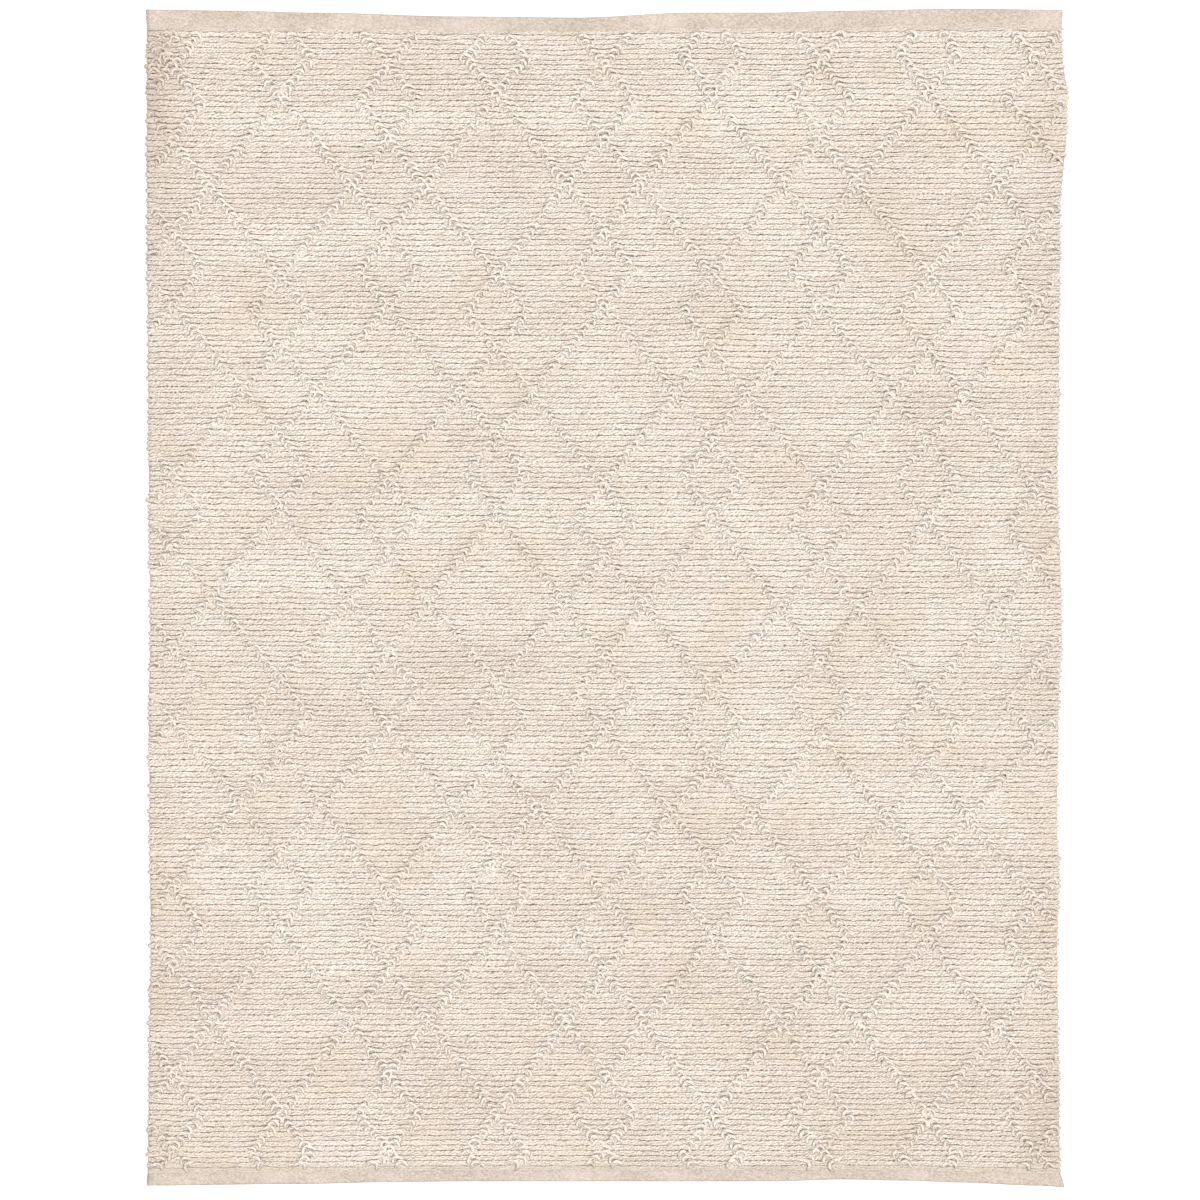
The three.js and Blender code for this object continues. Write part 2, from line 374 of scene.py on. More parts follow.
def crease_shade_marks(spot, along, around, winding, crease_width, side_width):
    """Painted shade lines at a yarn's furrows and along its sides, and where a hem is near."""
    slack = spot.stretched(1, 0.6, 1).cloud(SLACK_SIZE) - 0.5
    dark = spot.stretched(1, 3, 1).patches(*CREASE_SHADE_PATCHES)
    at_hem = (abs(spot.axis("Y")) + slack * HEM_LINE_WANDER).between(*HEM_LINE)
    scallop = (along * (1 / TWIST_LENGTH) + slack * SCALLOP_WAVER).wave() * SCALLOP
    furrow = (around * 2 + 0.5 + along * winding + slack * CREASE_WANDER + scallop).ridges()
    crease = (1 - furrow.between(0.0, crease_width)) * dark.at_least(LEAST_CREASE_SHADE)
    side = (around * 2 + slack * SIDE_WANDER).ridges()
    side_shade_line = (1 - side.between(0.0, side_width)) * dark.at_least(LEAST_SIDE_SHADE)
    return crease * (1 - at_hem * FADE_AT_HEM), side_shade_line, at_hem


# %% Uneven bleach
GRAIN_SIZE = 4.2 * MM
GRAIN_SHARE = 2.0
TONE_SHARE = 0.08
# Broad bands of rows bleached together, and smaller patches.
BAND_SIZE = 1.2
BAND_SHARE = 0.6
PATCH_SIZE = 0.30
PATCH_SHARE = 0.5
# The lower end of the rug is duskier.
LOWER_END = (-1.3, -0.3)
LOWER_END_SHARE = 0.12
MIDDLE_PALENESS = 0.45
print("Bleached patches are about", PATCH_SIZE, "m wide")


def bleach(spot, tone):
    """How pale the yarn is on the whole at this spot."""
    band = spot.stretched(1, 9, 1).cloud(BAND_SIZE) - 0.5
    patch = spot.cloud(PATCH_SIZE) - 0.5
    ends = spot.axis("Y").between(*LOWER_END) * LOWER_END_SHARE
    return (MIDDLE_PALENESS + (tone - 0.5) * TONE_SHARE + band * BAND_SHARE
            + patch * PATCH_SHARE + ends)


# %% Stains and flecks
# Patches of another tone: size in metres, and where the noise starts and is full.
YELLOW_PATCHES = (0.22, 0.50, 0.85)
PINK_PATCHES = (0.17, 0.55, 0.85)
TAN_FLECKS = (0.005, 0.72, 0.86)
DARK_SPECKS = (0.010, 0.80, 0.87)
YELLOW_SHARE = 0.60
PINK_SHARE = 0.40
FLECK_SHARE = 0.7
SPECK_SHARE = 0.7
HEM_SHARE = 0.75
# Two corners and, more faintly, both sides are tinted darker.
DARKER_TINT_SHARE = 0.36
SIDE_SHARE = 0.13
LOWER_CORNER_SHARE = 0.7
# Where the darker tint goes from none to full or back, along X for strips and sides, and along Y
# for ends.
LEFT_STRIP, RIGHT_STRIP = (-1.19, -1.07), (1.02, 1.19)
LEFT_SIDE, RIGHT_SIDE = (-1.18, -1.06), (1.03, 1.17)
UPPER_END, BOTTOM_END = (0.7, 1.35), (-1.4, -0.9)
print("Yellow patches are about", YELLOW_PATCHES[0], "m wide, pink ones", PINK_PATCHES[0], "m")


def darker_tint_places(spot):
    """How much darker tint the yarn has: most in two corners, a little along both sides."""
    x, y = spot.axis("X"), spot.axis("Y")
    upper_left = (1 - x.between(*LEFT_STRIP)) * y.between(*UPPER_END)
    lower_right = x.between(*RIGHT_STRIP) * (1 - y.between(*BOTTOM_END)) * LOWER_CORNER_SHARE
    sides = 1 - x.between(*LEFT_SIDE) + x.between(*RIGHT_SIDE)
    return (upper_left + lower_right) * DARKER_TINT_SHARE + sides * SIDE_SHARE


def stained(colour, spot, at_hem, warmth):
    """The yarn's colour with all its stains, flecks and specks."""
    yellow = spot.patches(*YELLOW_PATCHES) * YELLOW_SHARE + warmth
    speck = spot.stretched(1, 2.2, 1).patches(*DARK_SPECKS, detail=0.0)
    for tone, share in (
        (YELLOWED, yellow),
        (DARKER_TINT, darker_tint_places(spot)),
        (PINKISH, spot.stretched(1, -1, 1).patches(*PINK_PATCHES) * PINK_SHARE),
        (TAN, spot.stretched(1, 2, 1).patches(*TAN_FLECKS) * FLECK_SHARE),
        (SHADE_AND_SPECKS, speck * SPECK_SHARE),
        (HEM_TONE, at_hem * HEM_SHARE),
    ):
        colour = colour.tint(tone, share)
    return colour


# %% The finish of rows and loops
RELIEF_STRENGTH = 1.0
JUTE_ROUGHNESS = 0.92
JUTE_GLOSS = 0.18
JUTE_SHEEN = 0.12
SHEEN_ROUGHNESS = 0.5
# How high each mark stands in the relief, as a share of its depth.
FIBRE_RELIEF = 1.6
GRAIN_RELIEF = 1.2
CREASE_RELIEF = 0.7
SIDE_RELIEF = 0.25


def jute_finish(name, winding, crease_width, crease_shade, side_width, side_shade,
                relief_depth, fibre_share, strand_share, paleness, warmth):
    """Spun jute, with its creases, its slanting fibres and its uneven bleach."""
    finish, tree, shader = open_finish(name)
    spot = Wire.node(tree, "ShaderNodeTexCoord", output="Object")
    yarn = Wire.node(tree, "ShaderNodeUVMap", uv_map="yarn")
    tone = Wire.node(tree, "ShaderNodeAttribute", attribute_name="tone", output="Fac")
    along, around = yarn.axis("X"), yarn.axis("Y")

    fibre, fibre_shade_and_tone = fibre_marks(spot, along, around, tone)
    grain = spot.cloud(GRAIN_SIZE) - 0.5
    strand = strand_marks(spot, along, around) * strand_share
    crease, side_shade_line, at_hem = crease_shade_marks(spot, along, around, winding, crease_width,
                                             side_width)

    pale = bleach(spot, tone) + fibre_shade_and_tone * fibre_share + grain * GRAIN_SHARE + strand + paleness
    colour = stained(from_dark_to_pale(pale, DUSKY, PALE), spot, at_hem, warmth)
    # Painted shade darkens the creases and the yarns' sides.
    colour = colour.tint(SHADE_AND_SPECKS, crease * crease_shade)
    colour = colour.tint(SHADE_AND_SPECKS, side_shade_line * side_shade)
    relief = (fibre * FIBRE_RELIEF + grain * GRAIN_RELIEF + strand
              - crease * CREASE_RELIEF - side_shade_line * SIDE_RELIEF)
    dress(shader, colour, relief, relief_depth, RELIEF_STRENGTH, JUTE_ROUGHNESS, JUTE_GLOSS)
    shader.inputs["Sheen Weight"].default_value = JUTE_SHEEN
    shader.inputs["Sheen Roughness"].default_value = SHEEN_ROUGHNESS
    print(name, "is a finish of", len(tree.nodes), "nodes")
    return finish


# A loop's crease winds round it once in this length. A row's runs straight.
LOOP_WINDING = 30 * MM

row_finish = jute_finish("jute rows", winding=0, crease_width=0.30, crease_shade=0.54,
                         side_width=0.30, side_shade=0.28, relief_depth=2.3 * MM,
                         fibre_share=3.2, strand_share=0.22, paleness=0.03, warmth=0.0)
# The loops are painted paler than the rows: painted light on the raised yarn.
loop_finish = jute_finish("jute loops", winding=1 / LOOP_WINDING, crease_width=0.20,
                          crease_shade=0.78, side_width=0.60, side_shade=0.52,
                          relief_depth=2.2 * MM, fibre_share=2.2, strand_share=0.24,
                          paleness=0.58, warmth=0.11)

# %% [markdown]
# ## From rings to a mesh
# Every yarn is a row of rings, like the hoops of a barrel, with faces between them. Curves
# with a bevel would make such tubes too, but their rings are round, and these yarns are
# pressed flat, narrow and widen. Rings in arrays can have any shape, and thousands of yarns
# join into one mesh, which Blender handles faster than thousands of objects.


# %% A finished mesh becomes a piece of the rug
def lay_down(name, mesh, finish):
    """Puts a mesh with its finish in the scene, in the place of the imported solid."""
    mesh.shade_smooth()
    mesh.materials.append(finish)
    piece = bpy.data.objects.new(name, mesh)
    bpy.context.collection.objects.link(piece)
    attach(piece, "root")
    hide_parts("jute_rug")
    return piece


# %% Yarns joined into one mesh
def cap_faces(start, count, sides):
    """The two end faces of a yarn, whose corners begin at the number `start`."""
    last = start + (count - 1) * sides
    return [list(range(start + sides - 1, start - 1, -1)), list(range(last, last + sides))]


def weave_mesh(name, yarns, around, finish):
    """One mesh of many closed yarns. A yarn is (rings, along, tone): rings of places, the
    distance along the yarn at each ring, and how pale it is. `around` says how far round
    the yarn each corner of a ring lies, as a share of one turn."""
    sides = len(around)
    places, walls, caps, runs, tones = [], [], [], [], []
    first = 0
    for rings, along, tone in yarns:
        count = len(rings)
        number = first + np.arange(count * sides).reshape(count, sides)
        turned = np.roll(number, -1, axis=1)
        wall = np.stack([number[:-1], turned[:-1], turned[1:], number[1:]], axis=-1)
        round_low = np.broadcast_to(around, (count - 1, sides))
        round_high = np.broadcast_to(np.append(around[1:], around[0] + 1), (count - 1, sides))
        near = np.broadcast_to(along[:-1, None], (count - 1, sides))
        far = np.broadcast_to(along[1:, None], (count - 1, sides))
        corners = [(near, round_low), (near, round_high), (far, round_high), (far, round_low)]
        places.append(rings.reshape(-1, 3))
        walls.append(wall.reshape(-1, 4))
        caps.extend(cap_faces(first, count, sides))
        runs.append(np.stack([np.stack(c, -1) for c in corners], axis=2).reshape(-1, 2))
        tones.append(np.full(count * sides, tone))
        first += count * sides
    walls = np.concatenate(walls).tolist()
    mesh = bpy.data.meshes.new(name)
    mesh.from_pydata(np.concatenate(places) + to_frame, [], walls + caps)
    uv = mesh.uv_layers.new(name="yarn")
    uv_values = np.concatenate([*runs, np.zeros((len(caps) * sides, 2))])
    uv.data.foreach_set("uv", uv_values.astype(np.float32).ravel())
    tone_layer = mesh.attributes.new("tone", "FLOAT", "POINT")
    tone_layer.data.foreach_set("value", np.concatenate(tones).astype(np.float32))
    triangles = 2 * len(walls) + len(caps) * (sides - 2)
    print(name, "has", len(yarns), "yarns and", triangles, "triangles")
    return lay_down(name, mesh, finish)


def weave_pieces(name, count, yarns, around, finish):
    """The yarns as so many joined meshes, numbered from 1, with an equal share in each."""
    cuts = [k * len(yarns) // count for k in range(count + 1)]
    return [weave_mesh(f"{name}_{k + 1}", yarns[cuts[k]:cuts[k + 1]], around, finish)
            for k in range(count)]


# %% [markdown]
# ## The trellis
# Weavers repeat one motif: a large diamond, a small one, and so on, in columns. The loops
# could be set out diamond by diamond, but then neighbours wouldn't meet. Following each
# thread of the trellis is easier: it zigzags between two neighbouring columns, always turning
# a little past them, and where two threads cross past a column they draw the small diamonds.

# %% Where the threads of the trellis run
COLUMN_PITCH = 0.2806
OUTERMOST_COLUMN = 5
OVERSHOOT = 0.0773
EVEN_TURNS = [1.943, 1.297, 0.859, 0.204, -0.245, -0.851, -1.329, -1.935]
ODD_TURNS = [1.833, 1.413, 0.750, 0.326, -0.313, -0.752, -1.429, -1.836]
# The woven trellis isn't quite square. At places along the rug it is moved along by so many
# millimetres, and slants by so many in each metre across: (place, move, slant).
TRELLIS_DRIFT = np.array([
    (-1.08, -10.7, -3.6), (-0.74, -13.0, -21.0), (-0.41, -6.0, -21.9), (-0.07, 2.0, -20.0),
    (0.26, 2.5, -17.9), (0.60, -4.0, -2.9), (0.93, 2.0, 4.8), (1.27, 3.0, 7.6),
])


def thread_turns(gap, starts_on_even):
    """The turning points of one thread between column `gap` and the next, from the top."""
    turns = []
    for k, (even, odd) in enumerate(zip(EVEN_TURNS, ODD_TURNS)):
        on_even = (k % 2 == 0) == starts_on_even
        on_left = on_even == (gap % 2 == 0)
        x = gap * COLUMN_PITCH - OVERSHOOT if on_left else (gap + 1) * COLUMN_PITCH + OVERSHOOT
        y = even if on_even else odd
        places, *drifts = TRELLIS_DRIFT.T
        move, slant = (np.interp(y, places, drift) for drift in drifts)
        turns.append((y + (move + slant * x) * MM, x))
    return np.array(turns)


def thread_at(turns, y):
    """Where a thread runs at y, and which way its loops lean there."""
    x, ahead, behind = (np.interp(place, turns[::-1, 0], turns[::-1, 1])
                        for place in (y, y + ROW_PITCH, y - ROW_PITCH))
    return x, 1 if ahead > behind else -1


threads = [thread_turns(gap, starts) for gap in range(-OUTERMOST_COLUMN, OUTERMOST_COLUMN)
           for starts in (True, False)]
print("The trellis has", len(threads), "threads")

# %% [markdown]
# ## The weft rows
# No two rows are equally thick, and the furrow between two rows wavers as they press on each
# other. Giving each row its own noise would make neighbours overlap. Here the furrows are
# worked out first, and a row fills the space between two of them, as in the real cloth.


# %% Random lines that waver smoothly
def waver(count, samples, coarseness):
    """Smooth random lines, mostly between -2 and 2, that change every `coarseness` samples."""
    knots = int(samples / coarseness) + 4
    at = np.linspace(0, knots - 1.001, samples)
    values = dice.normal(size=(count, knots))
    low = at.astype(int)
    part = at - low
    part = part * part * (3 - 2 * part)
    return values[:, low] * (1 - part) + values[:, low + 1] * part


# %% Furrows
FINE_STEPS = 600
FINE_REACH = 1.25
# Row widths drift slowly along the rug, and also differ from one row to the next.
WIDTH_DRIFT = 0.045
WIDTH_SPREAD = 0.035
# Near a hem the furrows bend as the hem does.
HEM_PULL = 0.62
HEM_REACH = 0.060
HEM_WAVER = 1.8 * MM
FURROW_WAVER = 1.0 * MM
FURROW_HEIGHT = 7.4 * MM
FURROW_UNEVENNESS = 1.1 * MM
FURROW_LIMITS = (4.5 * MM, 8.8 * MM)
HEM_FURROW_SHARE = 0.6
# Neighbouring rows also waver together, except close to a hem.
SHARED_WAVER = 1.6 * MM
SHARED_LINES = 24
CALM_AT_HEM = 0.1

fine_x = np.linspace(-FINE_REACH, FINE_REACH, FINE_STEPS)
row_widths = (1 + WIDTH_DRIFT * waver(1, ROWS, coarseness=7)[0]
              + WIDTH_SPREAD * dice.normal(size=ROWS))
row_ends = np.concatenate([[0], np.cumsum(row_widths / row_widths.sum())])
furrow_y = FIELD_BOTTOM + row_ends * FIELD_LENGTH
top_sag = follow(TOP_EDGE, fine_x) - follow(TOP_EDGE, fine_x).mean()
bottom_sag = follow(BOTTOM_EDGE, fine_x) - follow(BOTTOM_EDGE, fine_x).mean()
furrows = furrow_y[:, None] + FURROW_WAVER * waver(ROWS + 1, FINE_STEPS, coarseness=6)
furrow_heights = np.clip(
    FURROW_HEIGHT + FURROW_UNEVENNESS * waver(ROWS + 1, FINE_STEPS, coarseness=5),
    *FURROW_LIMITS)
furrow_heights[[0, -1]] *= HEM_FURROW_SHARE
shared = waver(SHARED_LINES, FINE_STEPS, coarseness=60)
for k, y in enumerate(furrow_y):
    place = (y - FIELD_BOTTOM) / FIELD_LENGTH * (SHARED_LINES - 1.01)
    drift = shared[int(place)] * (1 - place % 1) + shared[int(place) + 1] * (place % 1)
    calm = min(1, (FIELD_TOP - y) / CALM_AT_HEM, (y - FIELD_BOTTOM) / CALM_AT_HEM)
    furrows[k] += SHARED_WAVER * drift * calm
    furrows[k] += HEM_PULL * top_sag * np.exp((y - FIELD_TOP) / HEM_REACH)
    furrows[k] += HEM_PULL * bottom_sag * np.exp((FIELD_BOTTOM - y) / HEM_REACH)
furrows[[0, -1]] += HEM_WAVER * waver(2, FINE_STEPS, coarseness=8)
crests = (furrows[:-1] + furrows[1:]) / 2
print("Rows are", np.round(np.percentile(np.diff(furrow_y), [5, 95]) / MM, 1), "mm wide")

# %% Humps beside the loops
# Beside a loop the furrows rise in a hump, which falls off steeply where the loop dives.
HUMP = np.array([
    (-20, 0), (-14, 0.6), (-7, 2.6), (0, 4.6), (5, 3.6), (9, 0.2), (13, -0.8), (20, 0),
]) * MM
HUMP_UNEVENNESS = 0.35

for turns in threads:
    for k, y in enumerate(furrow_y[1:-1], start=1):
        x, lean = thread_at(turns, y)
        size = 1 + HUMP_UNEVENNESS * dice.normal()
        furrows[k] += size * np.interp(lean * (fine_x - x), HUMP[:, 0], HUMP[:, 1])
print("The highest hump moves a furrow by", round(HUMP[:, 1].max() / MM, 1), "mm on average")

# %% Where every loop of the trellis stands
THREAD_SWAY = 1.5 * MM
LOOP_SPREAD = 2.2 * MM
SIDE_ROOM = 0.016
# Near one corner loops crowd outside the trellis too.
CROWDED_ROWS = 9
CROWDED_STRIP = (-1.172, -1.095)

loops = []
for turns in threads:
    sway = THREAD_SWAY * waver(1, ROWS, coarseness=9)[0]
    for row in range(1, ROWS - 1):
        y = furrow_y[row] + ROW_PITCH / 2
        x, lean = thread_at(turns, y)
        x += sway[row] + LOOP_SPREAD * dice.normal()
        if follow(LEFT_EDGE, y) + SIDE_ROOM < x < follow(RIGHT_EDGE, y) - SIDE_ROOM:
            loops.append((row, x, lean))
for row in range(ROWS - CROWDED_ROWS, ROWS - 1):
    for x in dice.uniform(*CROWDED_STRIP, size=2):
        loops.append((row, x, dice.choice([-1, 1])))
loops = np.array(loops)
print("The trellis has", len(loops), "loops")

# %% The places of a row's rings
ROW_STEP = 27 * MM
RINGS_AT_LOOP = np.array([-14, -7, 0, 6, 12]) * MM
CLEAR_OF_LOOP = 17 * MM
CLOSEST_RINGS = 3 * MM
END_RINGS = np.array([0, 2, 5.5]) * MM
END_ROOM = 10 * MM
print("A row has a ring every", round(ROW_STEP / MM), "mm, and more at its loops and its ends")


def ring_places(left, right, loop_places):
    """Where a row's rings stand: far apart, closer at its loops, and three at each end."""
    first, last = left + END_ROOM, right - END_ROOM
    places = np.linspace(first, last, int((last - first) / ROW_STEP))
    for x in loop_places:
        places = places[np.abs(places - x) > CLEAR_OF_LOOP]
    near = np.add.outer(loop_places, RINGS_AT_LOOP).ravel()
    places = np.sort(np.concatenate([places, near[(near > first) & (near < last)]]))
    places = places[np.append(True, np.diff(places) > CLOSEST_RINGS)]
    return np.concatenate([left + END_RINGS, places, (right - END_RINGS)[::-1]])


# %% The rows as yarns
ROW_PIECES = 4
ROW_BOTTOM = 0.4 * MM
ROW_TOP = 9.2 * MM
ROW_TOP_SPREAD = 0.05
# The rows beside a hem are flatter.
FIRST_ROWS = {0: 0.70, 1: 0.90}
SHOULDER_DROP = 0.7 * MM
# The gap between two rows is twice this, and opens and closes along them.
OPENING = 0.2 * MM
OPENING_SPREAD = 0.8
OPENING_LIMITS = (0.1, 3)
EDGE_SPREAD = 2.0 * MM
END_SWELLS = (0.25, 0.62, 0.90)
# Some rows are spun tighter than others.
TWIST_SPREAD = 0.12
# A row's section from the floor up over its top: its share of the width, and the turn.
SECTION_SHARES = np.array([0.08, 0.0, 0.07, 0.22, 0.78, 0.93, 1.0, 0.92])
SECTION_AROUND = np.array([0.10, 0.25, 0.285, 0.36, 0.64, 0.715, 0.75, 0.90])


def along_row(x, line):
    """The values of a line on the fine steps, read at the row's rings."""
    return np.interp(x, fine_x, line)


def row_yarn(row):
    """One weft row from selvedge to selvedge, pressed flat between its two furrows."""
    y = furrow_y[row] + ROW_PITCH / 2
    left = follow(LEFT_EDGE, y) + EDGE_SPREAD * dice.normal()
    right = follow(RIGHT_EDGE, y) + EDGE_SPREAD * dice.normal()
    x = ring_places(left, right, [place for k, place, _ in loops if k == row])
    lift = 1 + ROW_TOP_SPREAD * along_row(x, waver(1, FINE_STEPS, coarseness=14)[0])
    looseness = 1 + OPENING_SPREAD * along_row(x, waver(1, FINE_STEPS, coarseness=10)[0])
    opening = OPENING * np.clip(looseness, *OPENING_LIMITS)
    low = along_row(x, furrows[row]) + opening
    high = along_row(x, furrows[row + 1]) - opening
    ends = np.ones(len(x))
    ends[:3] = END_SWELLS
    ends[-3:] = END_SWELLS[::-1]
    low_side, high_side = (along_row(x, furrow_heights[k]) for k in (row, row + 1))
    rows_from_hem = min(row, ROWS - 1 - row)
    bottom = np.full(len(x), ROW_BOTTOM)
    top = ROW_TOP * lift * FIRST_ROWS.get(rows_from_hem, 1)
    shoulder = top - SHOULDER_DROP
    heights = (bottom, low_side, shoulder, top, top, shoulder, high_side, bottom)
    rings = np.empty((len(x), len(SECTION_SHARES), 3))
    for k, (share, height) in enumerate(zip(SECTION_SHARES, heights)):
        rings[:, k, 0] = x
        rings[:, k, 1] = (low + high) / 2 + (high - low) * (share - 0.5) * ends
        rings[:, k, 2] = ROW_TOP / 2 + (height - ROW_TOP / 2) * ends
    along = x * (1 + TWIST_SPREAD * dice.normal()) + dice.random()
    return rings, along, dice.random()


row_yarns = [row_yarn(row) for row in range(ROWS)]
row_pieces = weave_pieces("weft_rows", ROW_PIECES, row_yarns, SECTION_AROUND, row_finish)

# %% [markdown]
# ## The loops
# A loop leaves its row, arches over to one side and dives back steeply. A closed ring on top
# of the row would be simpler, but it would look sewn on. On threads that climb to the right a
# loop leans right, and on the others left, so that a line of loops looks like overlapping
# scales. Small random turns and sizes keep the line from looking stamped.

# %% Loops
LOOP_PIECES = 2
LOOP_SIDES = 6
# A loop's path beside its row: along the row, across it, height, and the yarn's radius.
LOOP_PATH = np.array([
    (-15.0, -2.6, 6.6, 3.0),
    (-9.5, 0.4, 8.6, 3.9),
    (-3.5, 3.0, 9.9, 4.4),
    (2.5, 4.0, 10.6, 4.5),
    (7.2, 1.6, 10.8, 4.4),
    (9.4, -4.0, 10.1, 4.1),
    (9.4, -11.0, 7.2, 3.4),
]) * MM
LOOP_FLATNESS = 0.72
# The size in the middle of the rug, and how much is added at its ends.
LOOP_SIZE_MIDDLE = 0.98
LOOP_SIZE_GAIN = 0.28
LOOP_SIZE_SPREAD = 0.11
LOOP_SHAPE_SPREAD = 0.08
LOOP_HEIGHT_SPREAD = 0.8 * MM
LOOP_TURN_SPREAD = math.radians(15)

loop_around = np.arange(LOOP_SIDES) / LOOP_SIDES


def loop_path(row, x, lean):
    """The middle line of one loop, and its radius there. Loops are largest near the ends."""
    path = LOOP_PATH.copy()
    size = LOOP_SIZE_MIDDLE + LOOP_SIZE_GAIN * (furrow_y[row] / FIELD_TOP) ** 2
    size *= 1 + LOOP_SIZE_SPREAD * dice.normal()
    path[:, :2] *= size * (1 + LOOP_SHAPE_SPREAD * dice.normal(size=2))
    arch = np.sin(np.linspace(0, math.pi, len(path)))
    path[:, 2] += arch * LOOP_HEIGHT_SPREAD * dice.normal()
    path[:, 3] *= math.sqrt(size)
    turn = LOOP_TURN_SPREAD * dice.normal()
    spun = path[:, 0] * math.cos(turn) - path[:, 1] * math.sin(turn)
    path[:, 1] = path[:, 0] * math.sin(turn) + path[:, 1] * math.cos(turn)
    path[:, 0] = lean * spun + x
    path[:, 1] += np.interp(x, fine_x, crests[row])
    return path[:, :3], path[:, 3]


def loop_yarn(row, x, lean):
    """One loop as a yarn: six-sided rings, pressed a little flat, along its path."""
    centre, radius = loop_path(int(row), x, lean)
    ahead = np.gradient(centre, axis=0)
    ahead /= np.linalg.norm(ahead, axis=1)[:, None]
    side = np.cross(ahead, (0, 0, 1))
    side /= np.linalg.norm(side, axis=1)[:, None]
    over = np.cross(side, ahead)
    angle = loop_around * math.tau
    rings = centre[:, None] + radius[:, None, None] * (
        side[:, None] * np.cos(angle)[None, :, None]
        + LOOP_FLATNESS * over[:, None] * np.sin(angle)[None, :, None])
    steps = np.linalg.norm(np.diff(centre, axis=0), axis=1)
    along = np.concatenate([[0], np.cumsum(steps)]) + dice.random()
    return rings, along, dice.random()


loop_yarns = [loop_yarn(*loop) for loop in loops]
loop_pieces = weave_pieces("trellis_loops", LOOP_PIECES, loop_yarns, loop_around, loop_finish)

# %% [markdown]
# ## The ground cloth and its hems
# Under the rows lies the thin cloth that carries them, and at both ends it comes out as a
# hem. It is a closed sheet: one face on the floor, one above it, and a soft rounded edge
# along each hem. A plane with a Solidify modifier would have a sharp edge there.

# %% The hem's finish
HEM_CREAM = (0.430, 0.350, 0.275)
HEM_PALE = (0.760, 0.665, 0.575)
HEM_THREAD = 7.5 * MM
THREAD_WAVER = 1.2
THREAD_WAVER_SIZE = 20 * MM
HEM_GRAIN_SIZE = 6.5 * MM
HEM_GRAIN_SHARE = 1.8
HEM_PATCH_SIZE = 0.25
HEM_PATCH_SHARE = 0.6
HEM_WEAVE_SHARE = 0.16
HEM_PINK_PATCHES = (0.13, 0.45, 0.8)
HEM_PINK_SHARE = 0.35
# Painted shade darkens the hem towards the floor, between these heights.
RIM_HEIGHTS = (2.0 * MM, 3.4 * MM)
RIM_SHADE = 0.55
HEM_WEAVE_RELIEF = 0.4
HEM_RELIEF_DEPTH = 1.2 * MM
HEM_RELIEF_STRENGTH = 0.9
HEM_ROUGHNESS = 0.95
HEM_GLOSS = 0.15


def hem_finish():
    """Plain weave: fine threads over and under in both directions, unevenly bleached."""
    finish, tree, shader = open_finish("fine plain weave")
    spot = Wire.node(tree, "ShaderNodeTexCoord", output="Object")
    thread_waver = spot.cloud(THREAD_WAVER_SIZE) * THREAD_WAVER
    over_under = [(spot.axis(name) * (1 / HEM_THREAD) + thread_waver).wave() for name in "XY"]
    weave = over_under[0] * over_under[1]
    grain = spot.stretched(1, 1.5, 1).cloud(HEM_GRAIN_SIZE, detail=3.0)
    patch = spot.stretched(1, 3, 1).cloud(HEM_PATCH_SIZE, detail=2.0)
    pale = (0.5 + (patch - 0.5) * HEM_PATCH_SHARE + (grain - 0.5) * HEM_GRAIN_SHARE
            + weave * HEM_WEAVE_SHARE)
    colour = from_dark_to_pale(pale, HEM_CREAM, HEM_PALE)
    colour = colour.tint(PINKISH, spot.patches(*HEM_PINK_PATCHES) * HEM_PINK_SHARE)
    # Painted shade along the hem's rounded edge, near the floor.
    colour = colour.tint(SHADE_AND_SPECKS, (1 - spot.axis("Z").between(*RIM_HEIGHTS)) * RIM_SHADE)
    relief = weave * HEM_WEAVE_RELIEF + grain
    dress(shader, colour, relief, HEM_RELIEF_DEPTH, HEM_RELIEF_STRENGTH, HEM_ROUGHNESS, HEM_GLOSS)
    print("The hem is woven of threads", round(HEM_THREAD / MM / 2, 2), "mm wide")
    return finish


# %% The lines of the ground cloth
GROUND_STEPS = 120
GROUND_LINES = 40
GROUND_REACH = 1.19
GROUND_TOP = 3.6 * MM
GROUND_BOTTOM = 0.2 * MM
# Under the rows the cloth ends a little inside the selvedges.
GROUND_INSET = 3 * MM
# The hem's section from its outer edge inwards, as (distance, height) in millimetres.
HEM_SECTION = [(0.0, 1.5), (1.0, 2.5), (3.2, 3.5), (8.0, 3.4), (16.0, 3.4)]

ground_x = np.linspace(-GROUND_REACH, GROUND_REACH, GROUND_STEPS + 1)


def ground_line(y, height, inset=0):
    """One line of the cloth's top, from selvedge to selvedge."""
    left = follow(LEFT_EDGE, y) + inset
    right = follow(RIGHT_EDGE, y) - inset
    x = left + (right - left) * np.linspace(0, 1, GROUND_STEPS + 1)
    return np.stack([x, y, np.full_like(x, height)], axis=-1)


def ground_top():
    """All lines of the cloth's top, from the bottom hem's edge to the top hem's."""
    lines = [ground_line(follow(BOTTOM_EDGE, ground_x) + inset * MM, height * MM)
             for inset, height in HEM_SECTION]
    lines += [ground_line(np.full_like(ground_x, FIELD_BOTTOM + FIELD_LENGTH * share),
                          GROUND_TOP, GROUND_INSET)
              for share in np.linspace(0, 1, GROUND_LINES)]
    lines += [ground_line(follow(TOP_EDGE, ground_x) - inset * MM, height * MM)
              for inset, height in reversed(HEM_SECTION)]
    return np.array(lines)


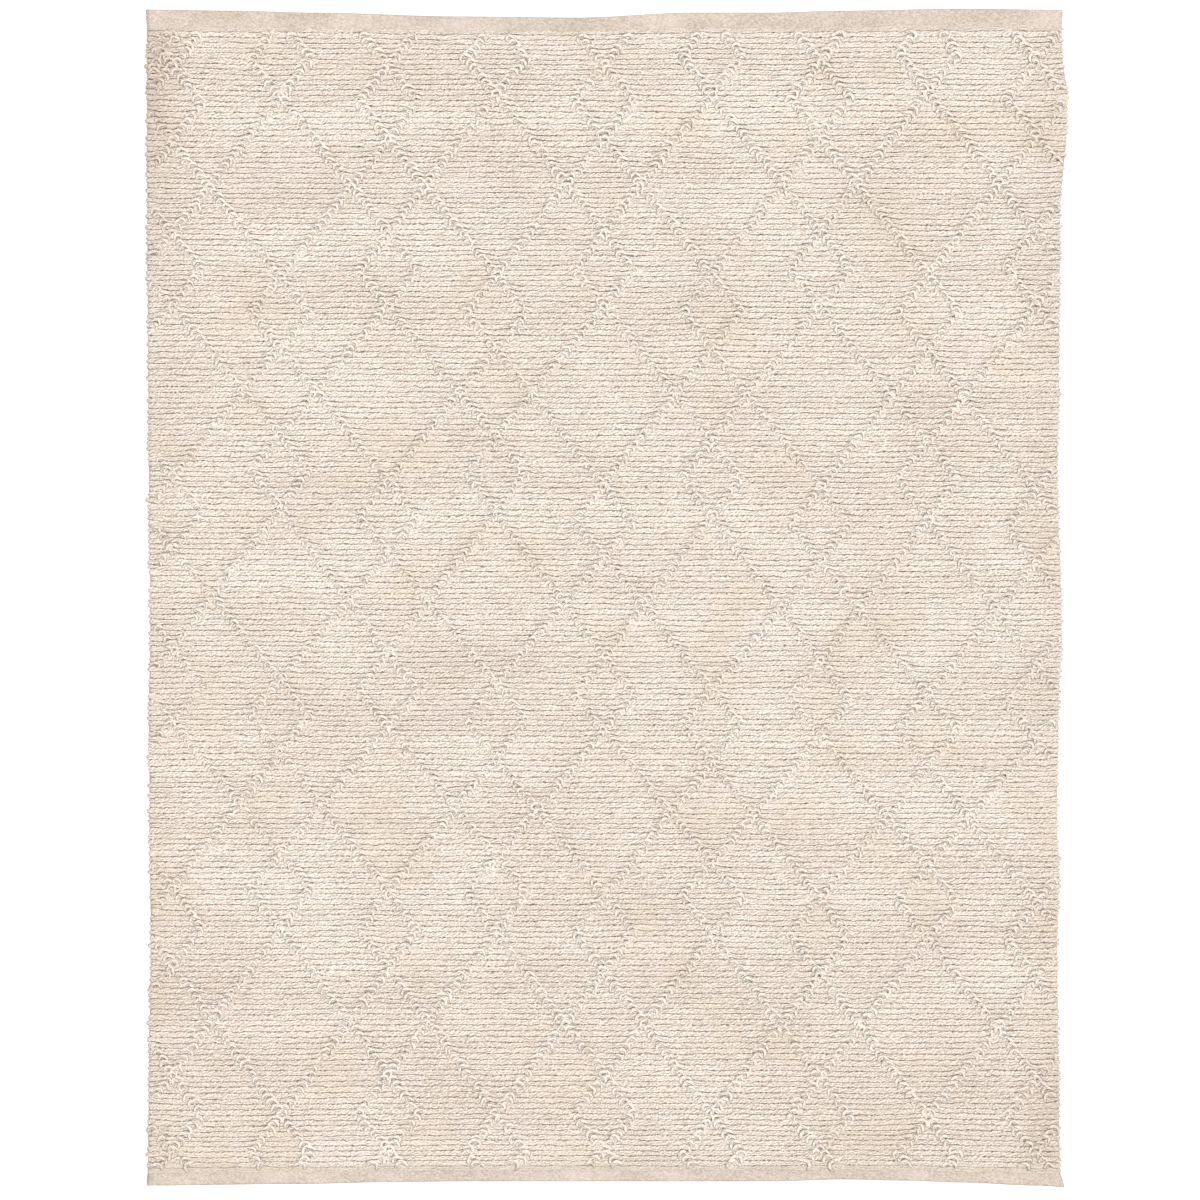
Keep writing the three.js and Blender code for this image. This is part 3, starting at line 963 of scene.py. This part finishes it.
# %% The closed sheet
def ground_sheet():
    """The closed sheet: its top, the same grid on the floor, and a rim between the two."""
    top = ground_top()
    under = top.copy()
    under[:, :, 2] = GROUND_BOTTOM
    count, width = top.shape[:2]
    number = np.arange(count * width).reshape(count, width)
    below = number + count * width
    over_faces = np.stack([number[:-1, :-1], number[:-1, 1:], number[1:, 1:], number[1:, :-1]], -1)
    under_faces = np.stack([below[:-1, :-1], below[1:, :-1], below[1:, 1:], below[:-1, 1:]], -1)
    ring = np.concatenate([number[0], number[1:, -1], number[-1, -2::-1], number[-2:0:-1, 0]])
    ring_below = ring + count * width
    rim = np.stack([np.roll(ring, -1), ring, ring_below, np.roll(ring_below, -1)], -1)
    faces = np.concatenate([over_faces.reshape(-1, 4), under_faces.reshape(-1, 4), rim])
    mesh = bpy.data.meshes.new("ground_cloth")
    mesh.from_pydata(np.concatenate([top, under]).reshape(-1, 3) + to_frame, [], faces.tolist())
    print("The ground cloth has", 2 * len(faces), "triangles")
    return lay_down("ground_cloth", mesh, hem_finish())


ground = ground_sheet()

# %% [markdown]
# ## The floor
# The floor only carries the rug and catches its soft shadow. A curved backdrop would hide the
# far edge in a view from low down, but the rug is shown from above, so a plain pale plane
# does. It isn't part of the rug.

# %% Floor
FLOOR_SIZE = 30
FLOOR_WHITE = 0.93
FLOOR_ROUGHNESS = 0.9

floor_mesh = bpy.data.meshes.new("floor")
half = FLOOR_SIZE / 2
floor_mesh.from_pydata([(-half, -half, 0), (half, -half, 0), (half, half, 0), (-half, half, 0)],
                       [], [(0, 1, 2, 3)])
floor = bpy.data.objects.new("floor", floor_mesh)
bpy.context.collection.objects.link(floor)
floor_finish, _, floor_shader = open_finish("pale floor")
floor_shader.inputs["Base Color"].default_value = (FLOOR_WHITE, FLOOR_WHITE, FLOOR_WHITE, 1)
floor_shader.inputs["Roughness"].default_value = FLOOR_ROUGHNESS
floor_mesh.materials.append(floor_finish)
print("The floor is", FLOOR_SIZE, "m wide")
